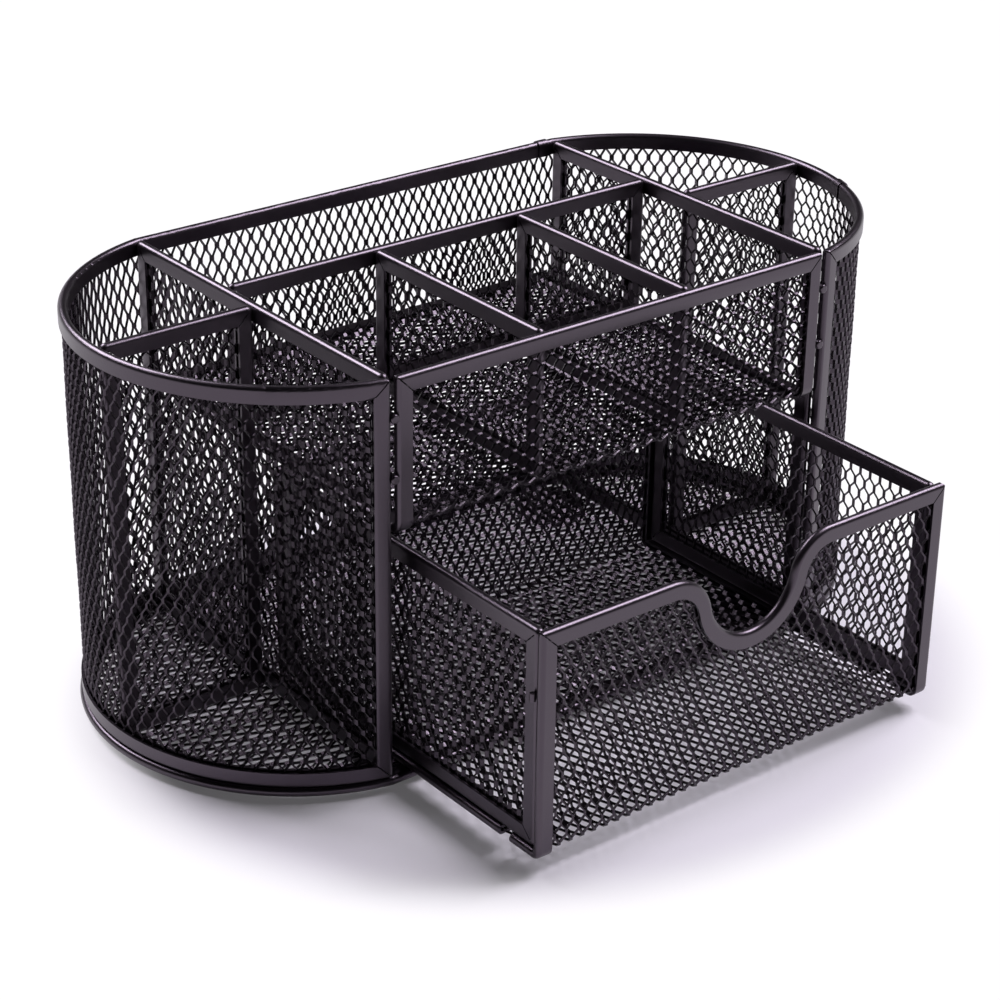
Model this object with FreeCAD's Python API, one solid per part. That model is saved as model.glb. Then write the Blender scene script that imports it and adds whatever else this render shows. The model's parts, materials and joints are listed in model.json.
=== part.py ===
import FreeCAD, Part
import math
import os

V = FreeCAD.Vector
X, Y, Z = V(1, 0, 0), V(0, 1, 0), V(0, 0, 1)
os.makedirs("parts", exist_ok=True)

# Millimetres. Z is up and the table is z = 0. While the pieces are drawn, the middle of the
# stand is x = 0, y = 0 and its drawer opens toward -Y. store() then moves everything so that
# the middle of the whole outline, drawer pulled out, is the origin.

# Outline of the stand, seen from above: straight front and back, an arc at each end
front_half = 67.0           # the arcs start this far either side of the middle
half_depth = 55.0
arc_bulge = 44.0            # how far an arc reaches beyond its start
base_bulge = 44.65          # the same for the base, which shows as a lip
wall_height = 102.9
foot_reach = 1.5            # table to the underside of the base

# Folded edge trim and the mesh sheet it grips
gauge = 0.7
trim_leg = 4.1
sheet_thick = 0.8
sheet_clear = 0.1           # either side of a sheet, inside its trim
sheet_inset = 1.2           # sheet edge to the trim's outer edge
edge_round = 1.1
tip_round = 1.5             # where a trim is folded round a corner
mitre_slit = 0.15           # half the open width of a mitre
butt_clear = 0.1            # between panels that meet

# Each mesh sheet has a plain grid of diamond openings in staggered rows. A bent sheet is made of
# adjoining solids, each of them nearly flat
grid_short = 10.8           # a diamond's pitch, which each sheet rounds to fit
grid_long = 15.6
grid_open = 0.76            # an opening's width as a share of its pitch
grid_most = 12              # openings in one row
wall_columns = 8            # openings in one row of the wall's back, and of each arc
scoop_split = 8.0           # the drawer front's solids meet here, either side of the middle

# Upper panels
panel_gap = 1.4             # front panel's edge to the outer wall's post
bay_height = 63.0           # top of the base to the underside of the shelf
shelf_fold = 3.0            # radius at mid thickness
long_divider_y = 13.8
cross_x = 22.3

# Drawer
pull = 49.0                 # how far out it stands at rest
drawer_side_clear = 2.6
drawer_top_clear = 3.8
drawer_back_clear = 2.4
drawer_lift = 0.3
drawer_fold = 1.6           # radius at mid thickness
side_tuck = 0.8             # side panel's outer face inside the trim's outer edge
side_drop = 0.6             # side panel's top below the front's top
strip_gap_start = 10.5      # the two corner strips leave a gap in the runner
strip_gap = 4.0
scoop_depth = 19.9
scoop_radius = 13.0
shoulder_radius = 12.0

# Small pieces
foot_radius = 10.0
foot_edge = 1.4             # foot to the base trim's inner edge
foot_x = 57.0
weld_heights = (78.0, 93.0)
weld_radius = 1.15
weld_clear = 0.03
weld_proud = 0.25
weld_round = 0.45
drawer_weld_height = 41.0
drawer_weld_length = 2.0
drawer_weld_radius = 0.75
joiner_length = 3.2
joiner_wall = 0.25
joiner_clear = 0.07
back_joiner_x = 62.8
arc_joiner_turn = -20.5     # degrees round the right-hand arc

# Worked out
slot = sheet_thick + 2 * sheet_clear
trim = slot + 2 * gauge
half_trim = trim / 2
base_top = foot_reach + trim
top = base_top + wall_height
panel_y = half_depth - half_trim
inner_y = half_depth - trim - butt_clear
shelf_mid = base_top + bay_height + half_trim
shelf_top = shelf_mid + half_trim
drawer_floor = base_top + drawer_lift
drawer_top = base_top + bay_height - drawer_top_clear
drawer_front = -half_depth - pull
drawer_rear = half_depth - trim - drawer_back_clear - pull
middle_shift = pull / 2
far = 400.0


def arc_radius(bulge):
    return (half_depth ** 2 + bulge ** 2) / (2 * bulge)


def arc_middle(bulge):
    """x of the arc's centre on the +X end."""
    return front_half + bulge - arc_radius(bulge)


def arc_half_turn(bulge):
    return math.degrees(math.atan2(half_depth, front_half - arc_middle(bulge)))


wall_radius = arc_radius(arc_bulge)
wall_x = arc_middle(arc_bulge)
wall_turn = arc_half_turn(arc_bulge)


def round_wall(turn, radius):
    """A point of the right-hand arc: turn in degrees from +X."""
    angle = math.radians(turn)
    return V(wall_x + radius * math.cos(angle), radius * math.sin(angle), 0)


def wall_outward(turn):
    return (round_wall(turn, wall_radius) - V(wall_x, 0, 0)).normalize()


wall_mid = wall_radius - half_trim
panel_half = round_wall(wall_turn, wall_mid).x - panel_gap
divider_x = panel_half + butt_clear + half_trim
divider_end = math.sqrt((wall_radius - trim) ** 2 - (divider_x + half_trim - wall_x) ** 2) - butt_clear
drawer_half = panel_half - drawer_side_clear


def store(name, *shapes):
    solids = [piece for shape in shapes for piece in shape.Solids]
    whole = solids[0] if len(solids) == 1 else Part.makeCompound(solids)
    moved = whole.translated(V(0, middle_shift, 0))
    moved.exportStep("parts/" + name + ".step")


def joined(pieces):
    whole = pieces[0]
    if len(pieces) > 1:
        whole = pieces[0].fuse(pieces[1:])
    return whole.removeSplitter()


def mirrored(shape):
    return shape.mirror(V(0, 0, 0), X)


def beyond(point, normal):
    """A block that fills the side of a plane that its normal points to."""
    block = Part.makeBox(2 * far, 2 * far, far, V(-far, -far, 0))
    block.Placement = FreeCAD.Placement(point, FreeCAD.Rotation(Z, normal))
    return block


def channel_face(edge, inward, across, leg=trim_leg):
    """Section of the folded trim: edge is its outermost point."""

    def at(u, v):
        return edge + inward * u + across * v

    outer, inner = half_trim, slot / 2
    return Part.Face(Part.Wire([
        Part.LineSegment(at(leg, outer), at(outer, outer)).toShape(),
        Part.Arc(at(outer, outer), at(0, 0), at(outer, -outer)).toShape(),
        Part.LineSegment(at(outer, -outer), at(leg, -outer)).toShape(),
        Part.LineSegment(at(leg, -outer), at(leg, -inner)).toShape(),
        Part.LineSegment(at(leg, -inner), at(outer, -inner)).toShape(),
        Part.Arc(at(outer, -inner), at(outer - inner, 0), at(outer, inner)).toShape(),
        Part.LineSegment(at(outer, inner), at(leg, inner)).toShape(),
        Part.LineSegment(at(leg, inner), at(leg, outer)).toShape(),
    ]))


def sheet_face(middle, width_way, width, across):
    """Section of a mesh sheet, centred on middle."""
    w, t = width_way * (width / 2), across * (sheet_thick / 2)
    return Part.Face(Part.makePolygon([middle - w - t, middle + w - t, middle + w + t,
                                       middle - w + t, middle - w - t]))


def mitred(rail, corner, along, inward):
    """Cut a rail's end on the slant through its corner, and round the tip."""
    cut = rail.cut(beyond(corner + along * (mitre_slit * math.sqrt(2)), inward - along))
    normal = along.cross(inward)
    r = tip_round
    centre = corner + (along + inward) * r
    start, end = corner + along * r, corner + inward * r
    bow = centre - (along + inward) * (r / math.sqrt(2))
    outside = corner - (along + inward) * r
    tip = Part.Face(Part.Wire([
        Part.Arc(start, bow, end).toShape(),
        Part.LineSegment(end, outside + inward * r - along * r).toShape(),
        Part.LineSegment(outside + inward * r - along * r, outside + along * r - inward * r).toShape(),
        Part.LineSegment(outside + along * r - inward * r, start).toShape(),
    ]))
    tip.translate(normal * (-trim))
    return cut.cut(tip.extrude(normal * (2 * trim)))


def grid_spots(width, height, across, up, columns=None):
    """Centres of staggered diamonds that fill width by height, and a diamond's half sizes."""
    columns = columns or max(1, min(grid_most, round(width / across)))
    rows = max(1, min(grid_most, round(height / up)))
    w, h = width / columns, height / rows
    spots = []
    for shift in (0, 1):
        for i in range(columns - shift):
            for j in range(rows - shift):
                spots.append(((i + (1 + shift) / 2) * w - width / 2,
                              (j + (1 + shift) / 2) * h - height / 2))
    return spots, w / 2 * grid_open, h / 2 * grid_open


def diamond(centre, width_way, half_width, up_way, half_height):
    side, head = width_way * half_width, up_way * half_height
    corners = [centre - side, centre + head, centre + side, centre - head]
    return Part.makePolygon(corners + corners[:1])


def diamond_grid(middle, width_way, width, up_way, height, across=grid_short, up=grid_long,
                 fits=None):
    """Outlines of the openings in a flat stretch of a sheet.

    fits(point) tells whether an outline's corner may lie there."""
    spots, half_width, half_height = grid_spots(width, height, across, up)
    outlines = [diamond(middle + width_way * u + up_way * v, width_way, half_width, up_way,
                        half_height) for u, v in spots]
    if fits is None:
        return outlines
    return [outline for outline in outlines if all(fits(corner.Point) for corner in outline.Vertexes)]


def opened(sheet, outlines, normal):
    """Cut openings through a sheet; their outlines lie at its middle."""
    cutters = [Part.Face(outline.translated(normal * -trim)).extrude(normal * (2 * trim))
               for outline in outlines]
    return sheet.cut(cutters)


def opened_plate(outer, outlines, normal):
    """A flat sheet with openings, from outlines at its middle."""
    face = Part.makeFace([outer] + outlines, "Part::FaceMakerBullseye")
    return face.translated(normal * (-sheet_thick / 2)).extrude(normal * sheet_thick)


def straight_rail(start, end, inward, across):
    return channel_face(start, inward, across).extrude(end - start)


def framed_panel(name, low, width_way, width, up, height):
    """A flat mesh sheet with one strip folded round its four sides.

    low is the panel's lower corner at mid thickness."""
    normal = width_way.cross(up)
    plate = Part.makeBox(width, trim, height, V(0, -half_trim, 0))
    uprights = [edge for edge in plate.Edges
                if abs(edge.tangentAt(edge.FirstParameter).y) > 0.9]
    plate = plate.makeFillet(tip_round, uprights)
    rims = [edge for edge in plate.Edges
            if all(abs(abs(vertex.Y) - half_trim) < 0.01 for vertex in edge.Vertexes)
            and edge.BoundBox.YLength < 0.01]
    plate = plate.makeFillet(min(edge_round, 0.46 * trim), rims)
    window = Part.makeBox(width - 2 * trim_leg, 2 * trim, height - 2 * trim_leg,
                          V(trim_leg, -trim, trim_leg))
    pocket_in = sheet_inset - sheet_clear
    pocket = Part.makeBox(width - 2 * pocket_in, slot, height - 2 * pocket_in,
                          V(pocket_in, -slot / 2, pocket_in))
    frame = plate.cut([window, pocket] + corner_slits(width, height))
    near, wide, high = sheet_inset, width - sheet_inset, height - sheet_inset
    edge = Part.makePolygon([V(near, 0, near), V(wide, 0, near), V(wide, 0, high), V(near, 0, high),
                             V(near, 0, near)])
    openings = diamond_grid(V(width / 2, 0, height / 2), X, width - 2 * trim_leg, Z,
                            height - 2 * trim_leg)
    sheet = opened_plate(edge, openings, Y)
    place = FreeCAD.Placement(low, FreeCAD.Rotation(width_way, normal * -1, up, "XZY"))
    frame.Placement = place
    sheet.Placement = place
    store(name + "_frame", frame)
    store(name + "_mesh", sheet)


def corner_slits(width, height):
    """Thin slots where the folded strip's notched legs meet."""
    slits = []
    length = (trim_leg - tip_round) * math.sqrt(2)
    for x, z, turn in ((trim_leg, trim_leg, 225), (width - trim_leg, trim_leg, 315),
                       (width - trim_leg, height - trim_leg, 45),
                       (trim_leg, height - trim_leg, 135)):
        slit = Part.makeBox(length + mitre_slit, 2 * trim, 2 * mitre_slit,
                            V(-mitre_slit, -trim, -mitre_slit))
        slit.rotate(V(0, 0, 0), Y, -turn)
        slit.translate(V(x, 0, z))
        slits.append(slit)
    return slits


def followed(section, points, radius):
    """Solids of a section run along straight lines in a Y-Z plane, with a round fold at each turn.

    section(point, across) draws it; across is the direction of its thickness."""
    pieces = []
    start = points[0]
    for i in range(1, len(points)):
        way = (points[i] - points[i - 1]).normalize()
        across = X.cross(way)
        end = points[i]
        turning = i < len(points) - 1
        if turning:
            end = end - way * radius
        pieces.append(section(start, across).extrude(end - start))
        if turning:
            next_way = (points[i + 1] - points[i]).normalize()
            centre = end + next_way * radius
            axis = way.cross(next_way)
            pieces.append(section(end, across).revolve(centre, axis, 90))
            start = points[i] + next_way * radius
    return pieces


def side_strip(edge_x, points, radius):
    """Trim along a folded sheet's side; its outer edge faces +X."""

    def section(point, across):
        return channel_face(V(edge_x, point.y, point.z), X * -1, across)

    return joined(followed(section, points, radius))


def folded_sheet(half_width, points, radius):
    """Flat stretches and folds of a sheet, one solid each."""

    def section(point, across):
        return sheet_face(point, X, 2 * half_width, across)

    return followed(section, points, radius)


# Base: one flat mesh floor, its trim lying flat round the edge

def base_outline(inset):
    """The base's outline, drawn in by inset, as a face at z = 0."""
    y = half_depth - inset
    radius = arc_radius(base_bulge) - inset
    x0 = arc_middle(base_bulge)
    x = x0 + math.sqrt(radius ** 2 - y ** 2)
    reach = x0 + radius
    return Part.Face(Part.Wire([
        Part.LineSegment(V(-x, -y, 0), V(x, -y, 0)).toShape(),
        Part.Arc(V(x, -y, 0), V(reach, 0, 0), V(x, y, 0)).toShape(),
        Part.LineSegment(V(x, y, 0), V(-x, y, 0)).toShape(),
        Part.Arc(V(-x, y, 0), V(-reach, 0, 0), V(-x, -y, 0)).toShape(),
    ]))


base_mid = foot_reach + half_trim
base_x = arc_middle(base_bulge)


def on_floor(point):
    beyond_arc = max(abs(point.x) - base_x, 0)
    return math.hypot(beyond_arc, point.y) < arc_radius(base_bulge) - trim_leg


floor_edge = base_outline(sheet_inset).OuterWire.translated(Z * base_mid)
floor_openings = diamond_grid(Z * base_mid, X, 2 * (front_half + base_bulge - trim_leg), Y,
                              2 * (half_depth - trim_leg), grid_long, grid_short, on_floor)
store("base_mesh", opened_plate(floor_edge, floor_openings, Z))

base_turn = arc_half_turn(base_bulge)
arc_way = V(math.cos(math.radians(base_turn)), math.sin(math.radians(base_turn)), 0)
arc_end = V(base_x, 0, 0) + arc_way * arc_radius(base_bulge)
end_face = channel_face(arc_end, arc_way * -1, Z)
end_face.translate(Z * base_mid)
base_arc = end_face.revolve(V(base_x, 0, 0), Z, -2 * base_turn)
store("base_trim_right", base_arc)
store("base_trim_left", mirrored(base_arc))

base_rail = straight_rail(V(-front_half, half_depth, base_mid), V(front_half, half_depth, base_mid),
                          Y * -1, Z)
kink_way = V(arc_way.y, -arc_way.x, 0)
base_rail = base_rail.cut(beyond(V(front_half, half_depth, 0), kink_way))
base_rail = base_rail.cut(mirrored(beyond(V(front_half, half_depth, 0), kink_way)))
store("base_trim_back", base_rail)
store("base_trim_front", base_rail.mirror(V(0, 0, 0), Y))


# Outer wall: one mesh sheet and one pair of rims run round the arc ends and the straight back,
# and stop at an upright post either side of the front panel

def wall_arc(section, turn):
    return section.revolve(V(wall_x, 0, 0), Z, -turn)


def wall_run(section, arc):
    """Join the right-hand arc to its mirror image; section is its +Y end."""
    back = section.extrude(X * (-2 * front_half)).cut(beyond(V(0, 0, 0), X * -1))
    return joined([arc, back, mirrored(arc), mirrored(back)])


def wall_post():
    """Upright trim at the right-hand arc's -Y end, bent to the arc."""

    def at(u, v):
        return round_wall(math.degrees(u / wall_mid) - wall_turn, wall_mid + v)

    outer, inner = half_trim, slot / 2
    middle_u = (trim_leg + outer) / 2
    face = Part.Face(Part.Wire([
        Part.Arc(at(trim_leg, outer), at(middle_u, outer), at(outer, outer)).toShape(),
        Part.Arc(at(outer, outer), at(0, 0), at(outer, -outer)).toShape(),
        Part.Arc(at(outer, -outer), at(middle_u, -outer), at(trim_leg, -outer)).toShape(),
        Part.LineSegment(at(trim_leg, -outer), at(trim_leg, -inner)).toShape(),
        Part.Arc(at(trim_leg, -inner), at(middle_u, -inner), at(outer, -inner)).toShape(),
        Part.Arc(at(outer, -inner), at(outer - inner, 0), at(outer, inner)).toShape(),
        Part.Arc(at(outer, inner), at(middle_u, inner), at(trim_leg, inner)).toShape(),
        Part.LineSegment(at(trim_leg, inner), at(trim_leg, outer)).toShape(),
    ]))
    return face.extrude(Z * wall_height).translated(Z * base_top)


front_end = round_wall(-wall_turn, wall_mid)
front_inward = (round_wall(90 - wall_turn, wall_radius) - V(wall_x, 0, 0)).normalize()

rim_start = round_wall(wall_turn, wall_mid) + Z * top
rim_section = channel_face(rim_start, Z * -1, wall_outward(wall_turn))
rim_arc = mitred(wall_arc(rim_section, 2 * wall_turn), front_end + Z * top, front_inward, Z * -1)
rim = wall_run(rim_section, rim_arc)
store("wall_top_rim", rim)
store("wall_bottom_rim", rim.mirror(V(0, 0, (base_top + top) / 2), Z))

post = mitred(wall_post(), front_end + Z * top, Z * -1, front_inward)
post = mitred(post, front_end + Z * base_top, Z, front_inward)
store("wall_right_front_post", post)
store("wall_left_front_post", mirrored(post))


def wall_sheet():
    """The outer wall's sheet: its back, and each arc in shares one opening wide."""
    middle_z = Z * ((base_top + top) / 2)
    centre = V(wall_x, 0, 0)
    section = sheet_face(round_wall(wall_turn, wall_mid) + middle_z, Z,
                         wall_height - 2 * sheet_inset, wall_outward(wall_turn))
    half_back = section.extrude(X * (-2 * front_half)).cut(beyond(V(0, 0, 0), X * -1))
    back = joined([half_back, mirrored(half_back)])
    back_half = round_wall(wall_turn, wall_mid).x
    height = wall_height - 2 * trim_leg
    spots, half_width, half_height = grid_spots(2 * back_half, height, grid_short, grid_long,
                                                wall_columns)
    outlines = [diamond(V(x, panel_y, z) + middle_z, X, half_width, Z, half_height)
                for x, z in spots]
    pieces = [opened(back, outlines, Y)]

    arc_length = 2 * math.radians(wall_turn) * wall_mid - trim_leg
    share = math.degrees(arc_length / wall_columns / wall_mid)
    spots, half_width, half_height = grid_spots(arc_length, height, grid_short, grid_long,
                                                wall_columns)
    cutters = []
    for along, z in spots:
        turn = wall_turn - math.degrees((along + arc_length / 2) / wall_mid)
        normal = wall_outward(turn)
        outline = diamond(round_wall(turn, wall_mid) + middle_z + Z * z, normal.cross(Z),
                          half_width, Z, half_height)
        cutters.append(Part.Face(outline.translated(normal * -trim)).extrude(normal * (2 * trim)))
    for i in range(wall_columns):
        begin = wall_turn - i * share
        end = begin - share
        if i == wall_columns - 1:
            end = math.degrees(sheet_inset / wall_mid) - wall_turn
        stretch = section.rotated(centre, Z, begin - wall_turn).revolve(centre, Z, end - begin)
        stretch = stretch.cut([cutter for cutter in cutters
                               if cutter.BoundBox.intersect(stretch.BoundBox)])
        pieces += [stretch, mirrored(stretch)]
    return pieces


store("wall_mesh", *wall_sheet())

# Flat upright panels
for side, x in (("left", -divider_x), ("right", divider_x)):
    framed_panel(side + "_divider", V(x, -divider_end, base_top), Y, 2 * divider_end, Z, wall_height)

upper_height = top - shelf_top
framed_panel("long_divider", V(-panel_half, long_divider_y, shelf_top), X, 2 * panel_half, Z,
             upper_height)

end_start = divider_x + half_trim + butt_clear
end_width = wall_x + wall_radius - trim - butt_clear - end_start
framed_panel("right_cross_divider", V(end_start, 0, base_top), X, end_width, Z, wall_height)
framed_panel("left_cross_divider", V(-end_start - end_width, 0, base_top), X, end_width, Z,
             wall_height)

cross_depth = inner_y + long_divider_y - half_trim - butt_clear
for side, x in (("left", -cross_x), ("right", cross_x)):
    framed_panel("front_" + side + "_cross", V(x, -inner_y, shelf_top), Y, cross_depth, Z,
                 upper_height)

# Upper front and shelf: one sheet folded along the bottom of the front
upper_front = -panel_y
sheet_path = [V(0, upper_front, top - sheet_inset), V(0, upper_front, shelf_mid),
              V(0, inner_y - sheet_inset, shelf_mid)]
front_plate, front_fold, shelf_plate = folded_sheet(panel_half - sheet_inset, sheet_path, shelf_fold)
shelf_window = 2 * (panel_half - trim_leg)
front_foot = shelf_mid + shelf_fold
front_head = top - trim_leg
front_openings = diamond_grid(V(0, upper_front, (front_foot + front_head) / 2), X, shelf_window, Z,
                              front_head - front_foot, grid_long, grid_short)
shelf_start = upper_front + shelf_fold
shelf_end = inner_y - trim_leg
shelf_openings = diamond_grid(V(0, (shelf_start + shelf_end) / 2, shelf_mid), X, shelf_window, Y,
                              shelf_end - shelf_start, grid_long, grid_short)
store("shelf_front_sheet", opened(front_plate, front_openings, Y), front_fold,
      opened(shelf_plate, shelf_openings, Z))

strip_path = [V(0, upper_front, top), V(0, upper_front, shelf_mid), V(0, inner_y, shelf_mid)]
strip = side_strip(panel_half, strip_path, shelf_fold)
strip = mitred(strip, V(panel_half, upper_front, top), Z * -1, X * -1)
strip = mitred(strip, V(panel_half, inner_y, shelf_mid), Y * -1, X * -1)
store("right_shelf_side_trim", strip)
store("left_shelf_side_trim", mirrored(strip))


def end_mitred(rail, half_width, y, z, inward):
    """Mitre both ends of a rail that runs along X."""
    rail = mitred(rail, V(half_width, y, z), X * -1, inward)
    return mitred(rail, V(-half_width, y, z), X, inward)


front_rail = straight_rail(V(-panel_half, upper_front, top), V(panel_half, upper_front, top),
                           Z * -1, Y)
store("front_top_trim", end_mitred(front_rail, panel_half, upper_front, top, Z * -1))
rear_rail = straight_rail(V(-panel_half, inner_y, shelf_mid), V(panel_half, inner_y, shelf_mid),
                          Y * -1, Z)
store("shelf_rear_trim", end_mitred(rear_rail, panel_half, inner_y, shelf_mid, Y * -1))

# Drawer: front, floor and back are one folded sheet
front_mid = drawer_front + half_trim
rear_mid = drawer_rear - half_trim
floor_mid = drawer_floor + half_trim
drawer_path = [V(0, front_mid, drawer_top - sheet_inset), V(0, front_mid, floor_mid),
               V(0, rear_mid, floor_mid), V(0, rear_mid, drawer_top - sheet_inset)]
drawer_plates = folded_sheet(drawer_half - sheet_inset, drawer_path, drawer_fold)

# Finger scoop: a hollow arc between two shoulder arcs that it touches
hollow_z = drawer_top - scoop_depth + scoop_radius
shoulder_z = drawer_top - shoulder_radius
shoulder_x = math.sqrt((scoop_radius + shoulder_radius) ** 2 - (hollow_z - shoulder_z) ** 2)
scoop_lean = math.degrees(math.asin((hollow_z - shoulder_z) / (scoop_radius + shoulder_radius)))


def ring_point(x, z, radius, turn):
    angle = math.radians(turn)
    return V(x + radius * math.cos(angle), front_mid, z + radius * math.sin(angle))


def scoop_cutter():
    """Everything above the scoop's line, drawn in by the sheet's inset."""
    small = shoulder_radius - sheet_inset
    large = scoop_radius + sheet_inset
    left_top = ring_point(-shoulder_x, shoulder_z, small, 90)
    left_low = ring_point(-shoulder_x, shoulder_z, small, scoop_lean)
    left_mid = ring_point(-shoulder_x, shoulder_z, small, (90 + scoop_lean) / 2)
    right_top, right_low, right_mid = [V(-p.x, p.y, p.z) for p in (left_top, left_low, left_mid)]
    lift = Z * scoop_depth
    face = Part.Face(Part.Wire([
        Part.Arc(left_top, left_mid, left_low).toShape(),
        Part.Arc(left_low, ring_point(0, hollow_z, large, 270), right_low).toShape(),
        Part.Arc(right_low, right_mid, right_top).toShape(),
        Part.LineSegment(right_top, right_top + lift).toShape(),
        Part.LineSegment(right_top + lift, left_top + lift).toShape(),
        Part.LineSegment(left_top + lift, left_top).toShape(),
    ]))
    face.translate(Y * (-trim))
    return face.extrude(Y * (2 * trim))


def below_scoop(point):
    """Whether a point of the front lies clear of the scoop's trim."""
    out = abs(point.x) - shoulder_x
    if math.hypot(point.x, point.z - hollow_z) < scoop_radius + trim_leg:
        return False
    if out > 0 or point.z < shoulder_z:
        return True
    return math.hypot(out, point.z - shoulder_z) < shoulder_radius - trim_leg


def drawer_sheet():
    """The drawer's sheet: its front in five solids across, its folds, floor and back."""
    front, front_fold, floor, back_fold, back = drawer_plates
    window = 2 * (drawer_half - trim_leg)
    foot, head = floor_mid + drawer_fold, drawer_top - trim_leg
    start, end = front_mid + drawer_fold, rear_mid - drawer_fold
    front = front.cut(scoop_cutter())
    front = opened(front, diamond_grid(V(0, front_mid, (foot + head) / 2), X, window, Z, head - foot,
                                       fits=below_scoop), Y)
    floor = opened(floor, diamond_grid(V(0, (start + end) / 2, floor_mid), X, window, Y,
                                       end - start), Z)
    back = opened(back, diamond_grid(V(0, rear_mid, (foot + head) / 2), X, window, Z,
                                     head - foot), Y)
    splits = [-drawer_half, -shoulder_x, -scoop_split, scoop_split, shoulder_x, drawer_half]
    shares = [front.common(Part.makeBox(right - left, 2 * trim, drawer_top,
                                        V(left, front_mid - trim, 0)))
              for left, right in zip(splits, splits[1:])]
    return shares + [front_fold, floor, back_fold, back]


store("drawer_sheet", *drawer_sheet())


def scoop_rail():
    """The front's top trim, which follows the scoop."""
    level = straight_rail(V(shoulder_x, front_mid, drawer_top), V(drawer_half, front_mid, drawer_top),
                          Z * -1, Y)
    shoulder_face = channel_face(V(shoulder_x, front_mid, drawer_top), Z * -1, Y)
    shoulder = shoulder_face.revolve(V(shoulder_x, front_mid, shoulder_z), Y, scoop_lean - 90)
    hollow_face = channel_face(V(0, front_mid, hollow_z - scoop_radius), Z * -1, Y)
    hollow = hollow_face.revolve(V(0, front_mid, hollow_z), Y, scoop_lean - 90)
    half = [level, shoulder, hollow]
    return joined(half + [mirrored(piece) for piece in half])


store("drawer_front_top_trim",
      end_mitred(scoop_rail(), drawer_half, front_mid, drawer_top, Z * -1))
back_rail = straight_rail(V(-drawer_half, rear_mid, drawer_top), V(drawer_half, rear_mid, drawer_top),
                          Z * -1, Y)
store("drawer_back_top_trim", end_mitred(back_rail, drawer_half, rear_mid, drawer_top, Z * -1))

corner_end = drawer_front + strip_gap_start
corner_strip = side_strip(drawer_half, [V(0, front_mid, drawer_top), V(0, front_mid, floor_mid),
                                        V(0, corner_end, floor_mid)], drawer_fold)
corner_strip = mitred(corner_strip, V(drawer_half, front_mid, drawer_top), Z * -1, X * -1)
runner_strip = side_strip(drawer_half, [V(0, corner_end + strip_gap, floor_mid),
                                        V(0, rear_mid, floor_mid), V(0, rear_mid, drawer_top)],
                          drawer_fold)
runner_strip = mitred(runner_strip, V(drawer_half, rear_mid, drawer_top), Z * -1, X * -1)
for name, piece in (("corner", corner_strip), ("runner", runner_strip)):
    store("drawer_right_" + name + "_trim", piece)
    store("drawer_left_" + name + "_trim", mirrored(piece))

side_start = drawer_front + trim + butt_clear
side_length = drawer_rear - trim - butt_clear - side_start
side_low = drawer_floor + trim + butt_clear
side_height = drawer_top - side_drop - side_low
side_x = drawer_half - side_tuck - half_trim
framed_panel("drawer_right_side", V(side_x, side_start, side_low), Y, side_length, Z, side_height)
framed_panel("drawer_left_side", V(-side_x, side_start, side_low), Y, side_length, Z, side_height)

# Feet: round pads under the floor mesh, inside the base trim
foot_y = half_depth - trim_leg - foot_edge - foot_radius
foot_height = base_mid - sheet_thick / 2
store("feet", *[Part.makeCylinder(foot_radius, foot_height, V(x, y, 0))
                for x in (-foot_x, foot_x) for y in (-foot_y, foot_y)])


# Weld beads in the groove between the front panel and the outer wall's posts
def post_beads():
    noses = [V(panel_half - half_trim, -panel_y, base_top),
             round_wall(math.degrees(half_trim / wall_mid) - wall_turn, wall_mid) + Z * base_top]
    start = -half_depth - weld_proud
    length = -divider_end - weld_clear - start
    beads = []
    for z in weld_heights:
        bead = Part.makeCylinder(weld_radius, length, V(panel_half + panel_gap / 2, start, base_top + z), Y)
        rim = [edge for edge in bead.Edges
               if abs(edge.BoundBox.YMin - start) < 0.01 and edge.BoundBox.YLength < 0.01]
        bead = bead.makeFillet(weld_round, rim)
        beads.append(bead.cut([Part.makeCylinder(half_trim + weld_clear, wall_height, nose)
                               for nose in noses]))
    return beads + [mirrored(bead) for bead in beads]


store("body_welds", *post_beads())

bead_x = drawer_half - side_tuck + drawer_weld_radius
bead_y = side_start - butt_clear + drawer_weld_radius
drawer_bead = Part.makeCylinder(drawer_weld_radius, drawer_weld_length,
                                V(bead_x, bead_y, drawer_floor + drawer_weld_height))
store("drawer_welds", drawer_bead, mirrored(drawer_bead))


# Sleeves over the top rim where the ends of its strips meet
def sleeve_face(edge, inward, across):
    """What a slightly larger channel adds outside the trim."""

    def outline(grow):
        r = half_trim + grow

        def at(u, v):
            return edge + inward * u + across * v

        return Part.Face(Part.Wire([
            Part.LineSegment(at(trim_leg, r), at(half_trim, r)).toShape(),
            Part.Arc(at(half_trim, r), at(-grow, 0), at(half_trim, -r)).toShape(),
            Part.LineSegment(at(half_trim, -r), at(trim_leg, -r)).toShape(),
            Part.LineSegment(at(trim_leg, -r), at(trim_leg, r)).toShape(),
        ]))

    return outline(joiner_clear + joiner_wall).cut(outline(joiner_clear)).Faces[0]


back_sleeve = sleeve_face(V(back_joiner_x - joiner_length / 2, panel_y, top), Z * -1, Y)
back_sleeve = back_sleeve.extrude(X * joiner_length)
sleeve_turn = math.degrees(joiner_length / wall_radius)
sleeve_start = arc_joiner_turn - sleeve_turn / 2
arc_sleeve = sleeve_face(round_wall(sleeve_start, wall_mid) + Z * top, Z * -1,
                         wall_outward(sleeve_start))
arc_sleeve = arc_sleeve.revolve(V(wall_x, 0, 0), Z, sleeve_turn)
store("rim_joiners", back_sleeve, arc_sleeve)
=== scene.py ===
import json
import math
import bmesh
import bpy
import numpy as np
from mathutils import Matrix, Vector


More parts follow.
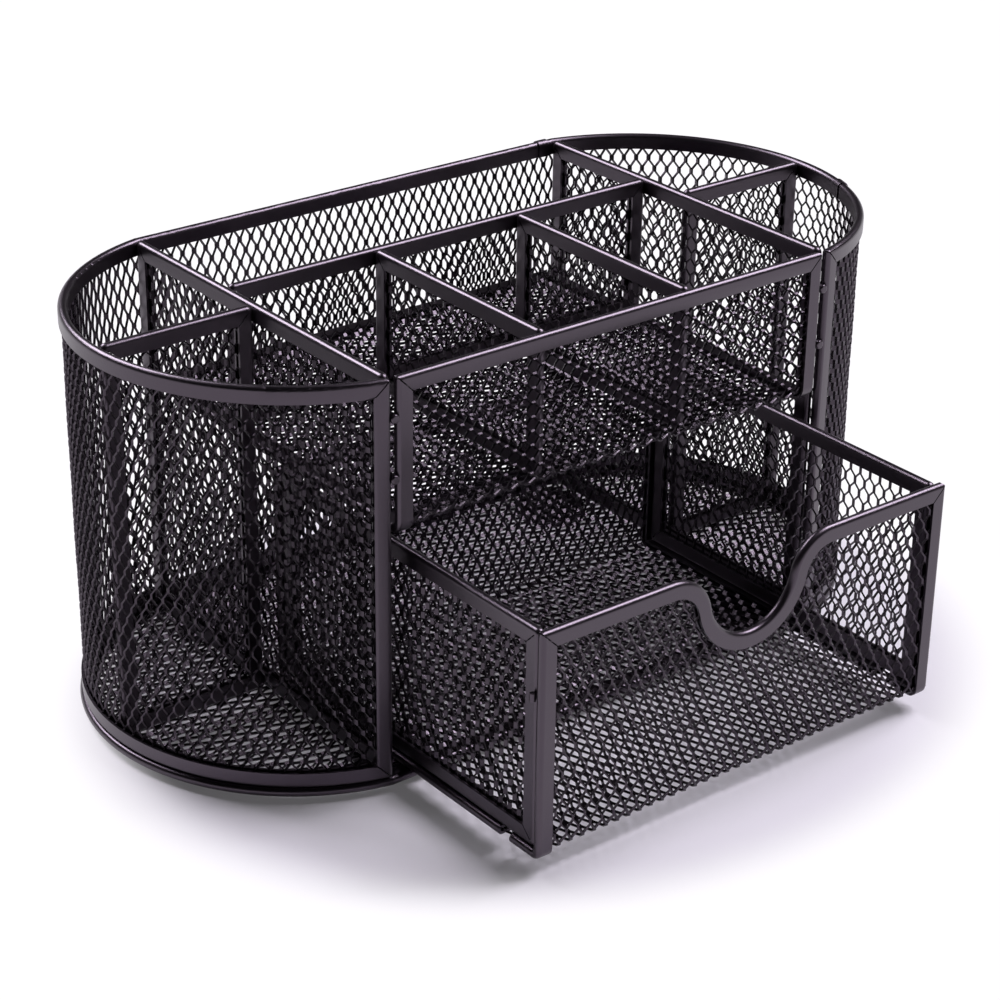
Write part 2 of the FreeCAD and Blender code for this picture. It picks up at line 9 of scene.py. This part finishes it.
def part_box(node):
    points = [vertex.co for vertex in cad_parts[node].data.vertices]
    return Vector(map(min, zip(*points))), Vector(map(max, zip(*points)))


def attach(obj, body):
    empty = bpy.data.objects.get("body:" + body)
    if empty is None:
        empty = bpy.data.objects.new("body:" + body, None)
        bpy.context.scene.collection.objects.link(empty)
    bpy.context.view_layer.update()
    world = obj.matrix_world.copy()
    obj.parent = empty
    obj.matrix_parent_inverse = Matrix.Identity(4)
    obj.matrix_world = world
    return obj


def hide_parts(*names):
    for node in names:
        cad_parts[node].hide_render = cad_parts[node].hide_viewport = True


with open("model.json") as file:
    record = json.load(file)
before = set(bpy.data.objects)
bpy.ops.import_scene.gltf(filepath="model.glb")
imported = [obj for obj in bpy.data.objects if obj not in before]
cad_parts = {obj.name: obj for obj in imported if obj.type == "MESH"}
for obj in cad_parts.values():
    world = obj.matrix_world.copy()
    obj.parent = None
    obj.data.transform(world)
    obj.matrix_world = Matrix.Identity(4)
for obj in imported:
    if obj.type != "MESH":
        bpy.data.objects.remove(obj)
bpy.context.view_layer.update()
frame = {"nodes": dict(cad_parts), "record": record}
cadNodes = frame["nodes"]
mm = 0.001
print("frame loaded:", len(cadNodes), "nodes")


# Node trees: a Wire is one output socket and can be used in sums

class Wire:
    def __init__(self, graph, socket):
        self.graph = graph
        self.socket = socket

    def work(self, operation, other, swapped=False):
        pair = (other, self) if swapped else (self, other)
        return self.graph.add("ShaderNodeMath", {"operation": operation}, {0: pair[0], 1: pair[1]})

    def __add__(self, other):
        return self.work("ADD", other)

    def __radd__(self, other):
        return self.work("ADD", other, True)

    def __sub__(self, other):
        return self.work("SUBTRACT", other)

    def __rsub__(self, other):
        return self.work("SUBTRACT", other, True)

    def __mul__(self, other):
        return self.work("MULTIPLY", other)

    def __rmul__(self, other):
        return self.work("MULTIPLY", other, True)

    def __truediv__(self, other):
        return self.work("DIVIDE", other)

    def __rtruediv__(self, other):
        return self.work("DIVIDE", other, True)


class Graph:
    def __init__(self, tree):
        self.tree = tree

    def add(self, kind, settings=None, values=None, out=0):
        node = self.tree.nodes.new(kind)
        for name, value in (settings or {}).items():
            setattr(node, name, value)
        for key, value in (values or {}).items():
            if isinstance(value, Wire):
                self.tree.links.new(value.socket, node.inputs[key])
            else:
                node.inputs[key].default_value = value
        return Wire(self, node.outputs[out]) if node.outputs else node


def newMaterial(name):
    material = bpy.data.materials.new(name)
    material.use_nodes = True
    material.node_tree.nodes.clear()
    return material, Graph(material.node_tree)


# Satin black powder coat, on the folded trim and on the mesh

dustLook = {
    "colour": (0.30, 0.28, 0.30, 1),
    "scale": 820.0,
    "edges": (0.62, 0.78),      # noise values where a speck starts and is full
    "roughness": 0.6,           # what a full speck adds
}

trimPaint = {
    "dark": (0.0018, 0.0014, 0.0017, 1),
    "pale": (0.0034, 0.0027, 0.0033, 1),
    "shine": 1.0,
    "roughness": 0.32,
    "roughnessSwing": 0.08,
    "peelScale": 1900.0,        # orange peel, about half a millimetre
    "peelHeight": 0.00002,
    "dustAmount": 0.02,
}

meshPaint = {
    "dark": (0.0018, 0.0014, 0.0017, 1),
    "pale": (0.0034, 0.0027, 0.0033, 1),
    "shine": 0.75,
    "roughness": 0.27,
    "roughnessSwing": 0.10,
    "peelScale": 2600.0,
    "peelHeight": 0.000012,
    "dustAmount": 0.02,
}

coatTint = (0.97, 0.80, 1.0, 1)     # the coat reflects a little purple

footRubber = {
    "dark": (0.014, 0.013, 0.014, 1),
    "pale": (0.026, 0.024, 0.026, 1),
    "shine": 0.4,
    "roughness": 0.72,
    "roughnessSwing": 0.15,
    "peelScale": 900.0,
    "peelHeight": 0.00006,
    "dustAmount": 0.25,
}


def paintMaterial(name, look):
    material, graph = newMaterial(name)
    place = graph.add("ShaderNodeTexCoord", out="Object")
    broad = graph.add("ShaderNodeTexNoise", None, {"Vector": place, "Scale": 55.0, "Detail": 4.0})
    peel = graph.add("ShaderNodeTexNoise", None,
                     {"Vector": place, "Scale": look["peelScale"], "Detail": 2.0,
                      "Roughness": 0.45})
    specks = graph.add("ShaderNodeTexNoise", None,
                       {"Vector": place, "Scale": dustLook["scale"], "Detail": 3.0,
                        "Roughness": 0.7})
    full = graph.add("ShaderNodeMapRange", None,
                     {"Value": specks, "From Min": dustLook["edges"][0],
                      "From Max": dustLook["edges"][1]})
    dust = full * look["dustAmount"]
    paint = graph.add("ShaderNodeMix", {"data_type": "RGBA"},
                      {0: broad, 6: look["dark"], 7: look["pale"]}, 2)
    dusty = graph.add("ShaderNodeMix", {"data_type": "RGBA"},
                      {0: dust, 6: paint, 7: dustLook["colour"]}, 2)
    roughness = (look["roughness"] + (broad - 0.5) * look["roughnessSwing"]
                 + dust * dustLook["roughness"])
    bump = graph.add("ShaderNodeBump", None,
                     {"Height": peel, "Distance": look["peelHeight"], "Strength": 1.0})
    shader = graph.add("ShaderNodeBsdfPrincipled", None,
                       {"Base Color": dusty, "Roughness": roughness, "Normal": bump,
                        "Specular IOR Level": look["shine"], "Specular Tint": coatTint})
    graph.add("ShaderNodeOutputMaterial", None, {"Surface": shader})
    return material


trimMaterial = paintMaterial("satinBlackTrim", trimPaint)
meshMaterial = paintMaterial("satinBlackMesh", meshPaint)
footMaterial = paintMaterial("footRubber", footRubber)
print("materials ready")


# Expanded steel: one bond with the two strands that leave it, repeated in staggered rows

expanded = {
    "shortWay": 3.45 * mm,
    "longWay": 6.35 * mm,
    "bond": 1.30 * mm,
    "strand": 0.60 * mm,
    "gauge": 0.50 * mm,
    "tilt": 34.0,
    "wave": 0.10 * mm,
}


def bondCell(name, sizes, way):
    # short way along X, long way along Y; each strand runs from one half of a bond to the
    # other half of the next; way is the side the strands lean to
    lean = math.radians(sizes["tilt"]) * way
    across = Vector((math.cos(lean), 0, math.sin(lean))) * sizes["strand"]
    thick = Vector((-math.sin(lean), 0, math.cos(lean))) * (sizes["gauge"] / 2)
    along = Vector((0, sizes["bond"] / 2, 0))
    points = []

    def station(centre):
        start = len(points)
        points.extend(centre + across * k + thick * side for k in (-1, 0, 1) for side in (-1, 1))
        return [start + k for k in range(6)]

    def wall(a, b, corners):
        faces = []
        for k, corner in enumerate(corners):
            following = corners[(k + 1) % len(corners)]
            faces.append((a[corner], a[following], b[following], b[corner]))
        return faces

    low, high = station(-along), station(along)
    faces = wall(low, high, (0, 2, 4, 5, 3, 1))
    for side in (-1, 1):
        away = Vector((side * sizes["shortWay"] / 2, sizes["longWay"] / 2, 0))
        far = station(away - along)
        near = (2, 4, 5, 3) if side > 0 else (0, 2, 3, 1)
        there = (0, 2, 3, 1) if side > 0 else (2, 4, 5, 3)
        for k in range(4):
            m = (k + 1) % 4
            faces.append((high[near[k]], high[near[m]], far[there[m]], far[there[k]]))
    mesh = bpy.data.meshes.new(name)
    mesh.from_pydata(points, [], faces)
    mesh.update()
    return bpy.data.objects.new(name, mesh)


def latticeTree():
    tree = bpy.data.node_groups.new("expandedSheet", "GeometryNodeTree")
    face = tree.interface
    face.new_socket("Geometry", in_out="OUTPUT", socket_type="NodeSocketGeometry")
    face.new_socket("Cell", in_out="INPUT", socket_type="NodeSocketObject")
    for name in ("Width", "Height", "Short Way", "Long Way"):
        face.new_socket(name, in_out="INPUT", socket_type="NodeSocketFloat")
    face.new_socket("Material", in_out="INPUT", socket_type="NodeSocketMaterial")
    graph = Graph(tree)
    given = tree.nodes.new("NodeGroupInput")
    take = {socket.name: Wire(graph, socket) for socket in given.outputs if socket.name}
    rows = []
    counts = []
    for size, pitch in (("Width", "Short Way"), ("Height", "Long Way")):
        fits = graph.add("ShaderNodeMath", {"operation": "CEIL"}, {0: take[size] / take[pitch]})
        counts.append(fits + 4)
    for half in (0.0, 0.5):
        grid = graph.add("GeometryNodeMeshGrid", None,
                         {"Size X": (counts[0] - 1) * take["Short Way"],
                          "Size Y": (counts[1] - 1) * take["Long Way"],
                          "Vertices X": counts[0], "Vertices Y": counts[1]})
        offset = graph.add("ShaderNodeCombineXYZ", None,
                           {"X": take["Short Way"] * half, "Y": take["Long Way"] * half})
        rows.append(graph.add("GeometryNodeTransform", None,
                              {"Geometry": grid, "Translation": offset}))
    both = tree.nodes.new("GeometryNodeJoinGeometry")
    for row in rows:
        tree.links.new(row.socket, both.inputs[0])
    cell = graph.add("GeometryNodeObjectInfo", None, {"Object": take["Cell"]}, "Geometry")
    copies = graph.add("GeometryNodeInstanceOnPoints", None,
                       {"Points": Wire(graph, both.outputs[0]), "Instance": cell})
    solid = graph.add("GeometryNodeRealizeInstances", None, {"Geometry": copies})
    welded = graph.add("GeometryNodeMergeByDistance", None,
                       {"Geometry": solid, "Distance": 0.01 * mm})
    painted = graph.add("GeometryNodeSetMaterial", None,
                        {"Geometry": welded, "Material": take["Material"]})
    graph.add("NodeGroupOutput", None, {0: painted})
    return tree


sheetTree = latticeTree()
slimSizes = dict(expanded, bond=1.65 * mm, strand=0.46 * mm, tilt=30.0)
steepSizes = dict(expanded, tilt=46.0)
wideSizes = dict(steepSizes, shortWay=3.66 * mm, longWay=5.2 * mm, bond=1.0 * mm)
floorCell = bondCell("floorCell", expanded, -1)
slimCells = {way: bondCell("slimCell", slimSizes, way) for way in (1, -1)}
steepCells = {way: bondCell("steepCell", steepSizes, way) for way in (1, -1)}
wideCell = bondCell("wideCell", wideSizes, -1)


def flatLattice(width, height, sizes, cell):
    # vertices and faces of a lattice a little larger than asked, centred on the origin
    holder = bpy.data.objects.new("lattice", bpy.data.meshes.new("lattice"))
    bpy.context.scene.collection.objects.link(holder)
    modifier = holder.modifiers.new("sheet", "NODES")
    modifier.node_group = sheetTree
    values = {"Cell": cell, "Width": width, "Height": height, "Short Way": sizes["shortWay"],
              "Long Way": sizes["longWay"], "Material": meshMaterial}
    for item in sheetTree.interface.items_tree:
        if item.in_out == "INPUT":
            modifier[item.identifier] = values[item.name]
    bpy.context.view_layer.update()
    graph = bpy.context.evaluated_depsgraph_get()
    mesh = bpy.data.meshes.new_from_object(holder.evaluated_get(graph))
    bpy.data.objects.remove(holder)
    points = np.empty(len(mesh.vertices) * 3)
    mesh.vertices.foreach_get("co", points)
    return mesh, points.reshape(-1, 3)


def keepInside(mesh, moved, held):
    # points that were pulled onto the border keep their strands; faces wholly outside go
    mesh.vertices.foreach_set("co", moved.ravel())
    work = bmesh.new()
    work.from_mesh(mesh)
    work.faces.ensure_lookup_table()
    outside = [face for face in work.faces if all(held[v.index] for v in face.verts)]
    bmesh.ops.delete(work, geom=outside, context="FACES")
    loose = [v for v in work.verts if not v.link_faces]
    bmesh.ops.delete(work, geom=loose, context="VERTS")
    work.to_mesh(mesh)
    work.free()


def clampRectangle(points, width, height):
    limit = np.array((width / 2, height / 2))
    moved = points.copy()
    moved[:, :2] = np.clip(points[:, :2], -limit, limit)
    held = np.any(np.abs(points[:, :2]) >= limit - 1e-9, axis=1)
    return moved, held


shortestWave = 26 * mm


def waved(points, amount, seed):
    # slow wander of the strands in the plane of the sheet
    rng = np.random.default_rng(seed)
    out = points.copy()
    for axis in (0, 1, 2):
        for _ in range(3):
            way = rng.uniform(-1, 1, 2) * 2 * math.pi / shortestWave
            phase = rng.uniform(0, 2 * math.pi)
            swing = np.sin(points[:, 0] * way[0] + points[:, 1] * way[1] + phase)
            out[:, axis] += amount / 2 * swing
    return out


def finishSheet(name, mesh, node, body):
    mesh.name = name
    piece = bpy.data.objects.new(name, mesh)
    bpy.context.scene.collection.objects.link(piece)
    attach(piece, body)
    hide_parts(node)
    return piece


def setPoints(mesh, points):
    mesh.vertices.foreach_set("co", np.ascontiguousarray(points).ravel())
    mesh.update()


def getPoints(mesh):
    points = np.empty(len(mesh.vertices) * 3)
    mesh.vertices.foreach_get("co", points)
    return points.reshape(-1, 3)


def makeLattice(width, height, sizes, cell, seed, clamp=clampRectangle):
    mesh, points = flatLattice(width, height, sizes, cell)
    moved, held = clamp(waved(points, sizes["wave"], seed), width, height)
    keepInside(mesh, moved, held)
    return mesh


bodyOf = {node: body for body, members in frame["record"]["behaviour"]["bodies"].items()
          for node in members}

# Flat upright panels: short way level, long way upright

flatPanels = {
    "left_divider_mesh": {"lean": -1, "seed": 2},
    "right_divider_mesh": {"lean": 1, "seed": 3},
    "long_divider_mesh": {"lean": 1, "seed": 4},
    "left_cross_divider_mesh": {"lean": 1, "seed": 5},
    "right_cross_divider_mesh": {"lean": 1, "seed": 6},
    "front_left_cross_mesh": {"lean": 1, "seed": 7},
    "front_right_cross_mesh": {"lean": 1, "seed": 8},
    "drawer_left_side_mesh": {"lean": -1, "seed": 9},
    "drawer_right_side_mesh": {"lean": 1, "seed": 10},
}

for node, look in flatPanels.items():
    low, high = (np.array(corner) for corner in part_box(node))
    size = high - low
    thin = 0 if size[0] < size[1] else 1
    level = 1 - thin
    mesh = makeLattice(size[level], size[2], expanded, slimCells[look["lean"]], look["seed"])
    flat = getPoints(mesh)
    placed = np.empty_like(flat)
    centre = (low + high) / 2
    placed[:, level] = centre[level] + flat[:, 0]
    placed[:, thin] = centre[thin] + flat[:, 2]
    placed[:, 2] = centre[2] + flat[:, 1]
    setPoints(mesh, placed)
    if thin == 1:
        mesh.flip_normals()
    finishSheet(node.replace("_mesh", "_lattice"), mesh, node, bodyOf[node])
print("flat panels woven")

# Outer wall: one strip that runs round the right end, along the back and round the left end

outerWall = {
    "arcX": 54.625 * mm,
    "middleY": 24.5 * mm,
    "radius": 55.175 * mm,
    "frontTurn": 76.07,         # degrees from +X to the front end
    "backTurn": 77.32,
}


def followWall(flat, centreZ):
    # distance along the strip is measured from the middle of the back, to the left
    radius, turn = outerWall["radius"], math.radians(outerWall["backTurn"])
    half = outerWall["arcX"] + radius * math.cos(turn)
    backY = radius * math.sin(turn)
    along = flat[:, 0]
    side = np.where(along < 0, 1.0, -1.0)
    angle = turn - np.maximum(np.abs(along) - half, 0) / radius
    curved = np.abs(along) > half
    normalX = np.where(curved, side * np.cos(angle), 0.0)
    normalY = np.where(curved, np.sin(angle), 1.0)
    baseX = np.where(curved, side * (outerWall["arcX"] + radius * np.cos(angle)), -along)
    baseY = np.where(curved, radius * np.sin(angle), backY)
    return np.stack((baseX + normalX * flat[:, 2],
                     outerWall["middleY"] + baseY + normalY * flat[:, 2],
                     centreZ + flat[:, 1]), axis=1)


low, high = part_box("wall_mesh")
arcLength = outerWall["radius"] * math.radians(outerWall["frontTurn"] + outerWall["backTurn"])
backLength = outerWall["arcX"] + outerWall["radius"] * math.cos(math.radians(outerWall["backTurn"]))
wallMesh = makeLattice(2 * (arcLength + backLength), high[2] - low[2], expanded, steepCells[1], 20)
setPoints(wallMesh, followWall(getPoints(wallMesh), (low[2] + high[2]) / 2))
finishSheet("wall_lattice", wallMesh, "wall_mesh", bodyOf["wall_mesh"])
print("outer wall woven")

# Floor: long way along the stand, trimmed to the round ends

floorSheet = {
    "middleY": 24.5 * mm,
    "middleX": 55.45 * mm,
    "radius": 55.0 * mm,
    "halfDepth": 53.8 * mm,
}


def clampFloor(points, width, height):
    # the lattice's X is the stand's Y here
    moved = points.copy()
    moved[:, 0] = np.clip(points[:, 0], -floorSheet["halfDepth"], floorSheet["halfDepth"])
    held = np.abs(points[:, 0]) >= floorSheet["halfDepth"]
    beyond = np.abs(moved[:, 1]) - floorSheet["middleX"]
    reach = np.hypot(moved[:, 0], np.maximum(beyond, 0))
    far = (beyond > 0) & (reach > floorSheet["radius"])
    scale = np.where(far, floorSheet["radius"] / np.maximum(reach, 1e-9), 1.0)
    moved[:, 0] = moved[:, 0] * scale
    moved[:, 1] = np.where(far, np.sign(moved[:, 1]) * (floorSheet["middleX"] + beyond * scale),
                           moved[:, 1])
    return moved, held | far


low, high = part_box("base_mesh")
floorMesh = makeLattice(high[1] - low[1], high[0] - low[0], expanded, floorCell, 30,
                        clampFloor)
flat = getPoints(floorMesh)
setPoints(floorMesh, np.stack((flat[:, 1], floorSheet["middleY"] - flat[:, 0],
                               (low[2] + high[2]) / 2 + flat[:, 2]), axis=1))
finishSheet("base_lattice", floorMesh, "base_mesh", bodyOf["base_mesh"])
print("floor woven")


# Folded sheets: the developed length runs down the front, round the fold and on

def foldPath(corners, radius):
    # straight and curved stretches of a path in Y and Z with right-angled folds
    stretches = []
    start = np.array(corners[0])
    travelled = 0.0
    for i in range(1, len(corners)):
        before, corner = np.array(corners[i - 1]), np.array(corners[i])
        way = (corner - before) / np.linalg.norm(corner - before)
        turning = i < len(corners) - 1
        end = corner - way * radius if turning else corner
        length = np.linalg.norm(end - start)
        stretches.append(("line", travelled, length, start, way, None))
        travelled += length
        if turning:
            nextWay = np.array(corners[i + 1]) - corner
            nextWay = nextWay / np.linalg.norm(nextWay)
            arc = radius * math.pi / 2
            stretches.append(("arc", travelled, arc, end, way, nextWay))
            travelled += arc
            start = corner + nextWay * radius
    return stretches, travelled


def followFold(flat, stretches, total, radius):
    # flat X stays X, flat Y is minus the distance along the path, flat Z is the normal
    along = total / 2 - flat[:, 1]
    placed = np.empty_like(flat)
    placed[:, 0] = flat[:, 0]
    for kind, begin, length, start, way, nextWay in stretches:
        last = begin + length >= total - 1e-9
        here = (along >= begin - (1 if begin == 0 else 0)) & ((along < begin + length) | last)
        travel = along[here] - begin
        lift = flat[here, 2]
        if kind == "line":
            normal = np.array((way[1], -way[0]))
            yz = start + np.outer(travel, way) + np.outer(lift, normal)
        else:
            turn = travel / radius
            middle = start + nextWay * radius
            spoke = np.outer(np.sin(turn), way) - np.outer(np.cos(turn), nextWay)
            normalSide = np.sign(np.dot(np.array((way[1], -way[0])), -nextWay))
            yz = middle + spoke * (radius + normalSide * lift)[:, None]
        placed[here, 1:] = yz
    return placed


upperSheet = {
    "front": -29.3 * mm,
    "top": 105.4 * mm,
    "shelf": 68.1 * mm,
    "rear": 75.6 * mm,
    "fold": 3.0 * mm,
}

# this sheet's long way lies along the stand, so its lattice is turned before it is folded
path = [(upperSheet["front"], upperSheet["top"]), (upperSheet["front"], upperSheet["shelf"]),
        (upperSheet["rear"], upperSheet["shelf"])]
stretches, total = foldPath(path, upperSheet["fold"])
low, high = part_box("shelf_front_sheet")
upperMesh = makeLattice(total, high[0] - low[0], wideSizes, wideCell, 40)
flat = getPoints(upperMesh)
turned = np.stack((flat[:, 1], -flat[:, 0], flat[:, 2]), axis=1)
setPoints(upperMesh, followFold(turned, stretches, total, upperSheet["fold"]))
finishSheet("shelf_front_lattice", upperMesh, "shelf_front_sheet", bodyOf["shelf_front_sheet"])
print("shelf woven")

drawerSheet = {
    "front": -78.3 * mm,
    "rear": 24.5 * mm,
    "top": 61.6 * mm,
    "floor": 5.4 * mm,
    "fold": 1.6 * mm,
    "scoopMiddle": 56.2 * mm,
    "scoopRadius": 14.4 * mm,       # with the sheet's edge inside the trim
    "shoulderX": 24.47 * mm,
    "shoulderMiddle": 51.1 * mm,
    "shoulderRadius": 10.6 * mm,
}

path = [(drawerSheet["front"], drawerSheet["top"]), (drawerSheet["front"], drawerSheet["floor"]),
        (drawerSheet["rear"], drawerSheet["floor"]), (drawerSheet["rear"], drawerSheet["top"])]
stretches, total = foldPath(path, drawerSheet["fold"])


def clampDrawer(points, width, height):
    moved, held = clampRectangle(points, width, height)
    x = moved[:, 0]
    level = drawerSheet["top"] - (height / 2 - moved[:, 1])     # height, where this is the front
    scoopZ, scoopRadius = drawerSheet["scoopMiddle"], drawerSheet["scoopRadius"]
    shoulderX, shoulderZ = drawerSheet["shoulderX"], drawerSheet["shoulderMiddle"]
    front = level > scoopZ - 2 * scoopRadius
    # shoulders pull points in, the hollow pushes points out
    dx, dz = np.abs(x) - shoulderX, level - shoulderZ
    reach = np.hypot(dx, dz)
    above = dz > -dx * (scoopZ - shoulderZ) / shoulderX
    shoulder = front & (dx < 0) & above & (reach > drawerSheet["shoulderRadius"])
    depth = level - scoopZ
    hollowReach = np.hypot(x, depth)
    hollow = front & ~shoulder & (np.abs(x) < shoulderX) & (hollowReach < scoopRadius)
    pull = drawerSheet["shoulderRadius"] / np.maximum(reach, 1e-9)
    push = scoopRadius / np.maximum(hollowReach, 1e-9)
    moved[:, 0] = np.where(shoulder, np.sign(x) * (shoulderX + dx * pull),
                           np.where(hollow, x * push, x))
    newLevel = np.where(shoulder, shoulderZ + dz * pull,
                        np.where(hollow, scoopZ + depth * push, level))
    moved[:, 1] = height / 2 - (drawerSheet["top"] - newLevel)
    return moved, held | shoulder | hollow


low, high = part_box("drawer_sheet")
drawerMesh = makeLattice(high[0] - low[0], total, expanded, steepCells[-1], 50, clampDrawer)
flat = getPoints(drawerMesh)
setPoints(drawerMesh, followFold(flat, stretches, total, drawerSheet["fold"]))
finishSheet("drawer_lattice", drawerMesh, "drawer_sheet", bodyOf["drawer_sheet"])
print("drawer sheet woven")


# Folded trims, beads and feet keep their solids' shape, with smooth bends

def dressed(node, material, bend=32):
    source = cadNodes[node]
    mesh = source.data.copy()
    mesh.name = node + "_paint"
    work = bmesh.new()
    work.from_mesh(mesh)
    bmesh.ops.remove_doubles(work, verts=work.verts, dist=0.000002)
    work.to_mesh(mesh)
    work.free()
    mesh.materials.clear()
    mesh.materials.append(material)
    mesh.polygons.foreach_set("use_smooth", [True] * len(mesh.polygons))
    mesh.set_sharp_from_angle(angle=math.radians(bend))
    piece = bpy.data.objects.new(node + "_paint", mesh)
    bpy.context.scene.collection.objects.link(piece)
    weighted = piece.modifiers.new("weighted", "WEIGHTED_NORMAL")
    weighted.keep_sharp = True
    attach(piece, bodyOf[node])
    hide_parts(node)
    return piece


for node in sorted(cadNodes):
    if node == "feet":
        dressed(node, footMaterial)
    elif not node.endswith("_mesh") and not node.endswith("_sheet"):
        dressed(node, trimMaterial)
print("trims dressed")


# Camera, floor and light

cameraView = {
    "place": (-376.46, -459.18, 337.41),
    "right": (0.78703, -0.61678, 0.01268),
    "up": (0.26326, 0.35437, 0.89728),
    "forward": (0.55792, 0.70285, -0.44128),
    "lens": 94.38,
}

cameraData = bpy.data.cameras.new("camera")
cameraData.lens = cameraView["lens"]
cameraData.sensor_width = 36.0
cameraData.clip_end = 20.0
camera = bpy.data.objects.new("camera", cameraData)
bpy.context.scene.collection.objects.link(camera)
back = [-part for part in cameraView["forward"]]
turn = Matrix((cameraView["right"], cameraView["up"], back)).transposed()
camera.matrix_world = Matrix.Translation(Vector(cameraView["place"]) * mm) @ turn.to_4x4()
bpy.context.scene.camera = camera

floorLook = {
    "size": 12.0,
    "colour": (0.80, 0.78, 0.84, 1),
    "paler": (0.84, 0.83, 0.87, 1),
    "white": (0.985, 0.965, 1, 1),
    "whiteStrength": 1.06,
    "stretch": (0.88, 1.0, 0.0),    # distances along the stand count for less
    "shadeUnderneath": 0.08,         # share of plain white that the camera sees under the stand, kept low as painted shade
    "around": 0.985,            # and on the open floor
    "reach": (0.092, 0.114),    # from the middle, where the painted shade under the stand gives way to the open floor
}


def floorMaterial():
    material, graph = newMaterial("paleFloor")
    rays = material.node_tree.nodes.new("ShaderNodeLightPath")
    seen = Wire(graph, rays.outputs["Is Camera Ray"])
    for name in ("Is Glossy Ray", "Is Transmission Ray"):
        seen = graph.add("ShaderNodeMath", {"operation": "MAXIMUM"},
                         {0: seen, 1: Wire(graph, rays.outputs[name])})
    place = graph.add("ShaderNodeTexCoord", out="Object")
    grain = graph.add("ShaderNodeTexNoise", None, {"Vector": place, "Scale": 9.0, "Detail": 3.0})
    tone = graph.add("ShaderNodeMix", {"data_type": "RGBA"},
                     {0: grain * 0.15, 6: floorLook["colour"], 7: floorLook["paler"]}, 2)
    matt = graph.add("ShaderNodeBsdfDiffuse", None, {"Color": tone})
    white = graph.add("ShaderNodeEmission", None, {"Color": floorLook["white"],
                                                   "Strength": floorLook["whiteStrength"]})
    flat = graph.add("ShaderNodeVectorMath", {"operation": "MULTIPLY"},
                     {0: place, 1: floorLook["stretch"]})
    away = graph.add("ShaderNodeVectorMath", {"operation": "LENGTH"}, {0: flat}, "Value")
    # painted shade: near the stand's middle the camera sees little plain white, so the floor there
    # is darker
    share = graph.add("ShaderNodeMapRange", {"interpolation_type": "SMOOTHSTEP"},
                      {"Value": away, "From Min": floorLook["reach"][0],
                       "From Max": floorLook["reach"][1], "To Min": floorLook["shadeUnderneath"],
                       "To Max": floorLook["around"]})
    mix = graph.add("ShaderNodeMixShader", None, {0: seen * share, 1: matt, 2: white})
    graph.add("ShaderNodeOutputMaterial", None, {"Surface": mix})
    return material


floorData = bpy.data.meshes.new("floor")
edge = floorLook["size"] / 2
floorData.from_pydata([(-edge, -edge, 0), (edge, -edge, 0), (edge, edge, 0), (-edge, edge, 0)], [],
                      [(0, 1, 2, 3)])
floorData.materials.append(floorMaterial())
floor = bpy.data.objects.new("floor", floorData)
bpy.context.scene.collection.objects.link(floor)

roomLight = {
    "pale": 1.0,                # along the horizon, like a far white wall
    "dark": 0.012,              # overhead
    "wallTop": (0.0, 0.10),     # heights on the unit sphere where the wall fades out
}

world = bpy.data.worlds.new("studio")
bpy.context.scene.world = world
world.use_nodes = True
world.node_tree.nodes.clear()
room = Graph(world.node_tree)
direction = room.add("ShaderNodeTexCoord", out="Generated")
height = room.add("ShaderNodeSeparateXYZ", None, {"Vector": direction}, "Z")
fade = room.add("ShaderNodeMapRange", None,
                {"Value": height, "From Min": roomLight["wallTop"][0],
                 "From Max": roomLight["wallTop"][1],
                 "To Min": roomLight["pale"], "To Max": roomLight["dark"]})
sky = room.add("ShaderNodeBackground", None, {"Color": (1, 1, 1, 1), "Strength": fade})
room.add("ShaderNodeOutputWorld", None, {"Surface": sky})

lamps = {
    "right": {"place": (0.64, -0.18, 0.92), "aim": (0.0, 0.0, 0.05), "size": 0.55, "power": 13.0},
    "back": {"place": (-0.22, 0.80, 0.82), "aim": (0.0, 0.0, 0.06), "size": 0.55, "power": 13.0},
}

for name, lamp in lamps.items():
    data = bpy.data.lights.new(name, "AREA")
    data.shape = "SQUARE"
    data.size = lamp["size"]
    data.energy = lamp["power"]
    data.color = (0.97, 0.93, 1.0)
    lampObject = bpy.data.objects.new(name, data)
    bpy.context.scene.collection.objects.link(lampObject)
    aim = Vector(lamp["aim"]) - Vector(lamp["place"])
    lampObject.rotation_euler = aim.to_track_quat("-Z", "Y").to_euler()
    lampObject.location = lamp["place"]
    lampObject.visible_camera = False

bpy.context.scene.view_settings.view_transform = "Standard"
print("camera and light set")
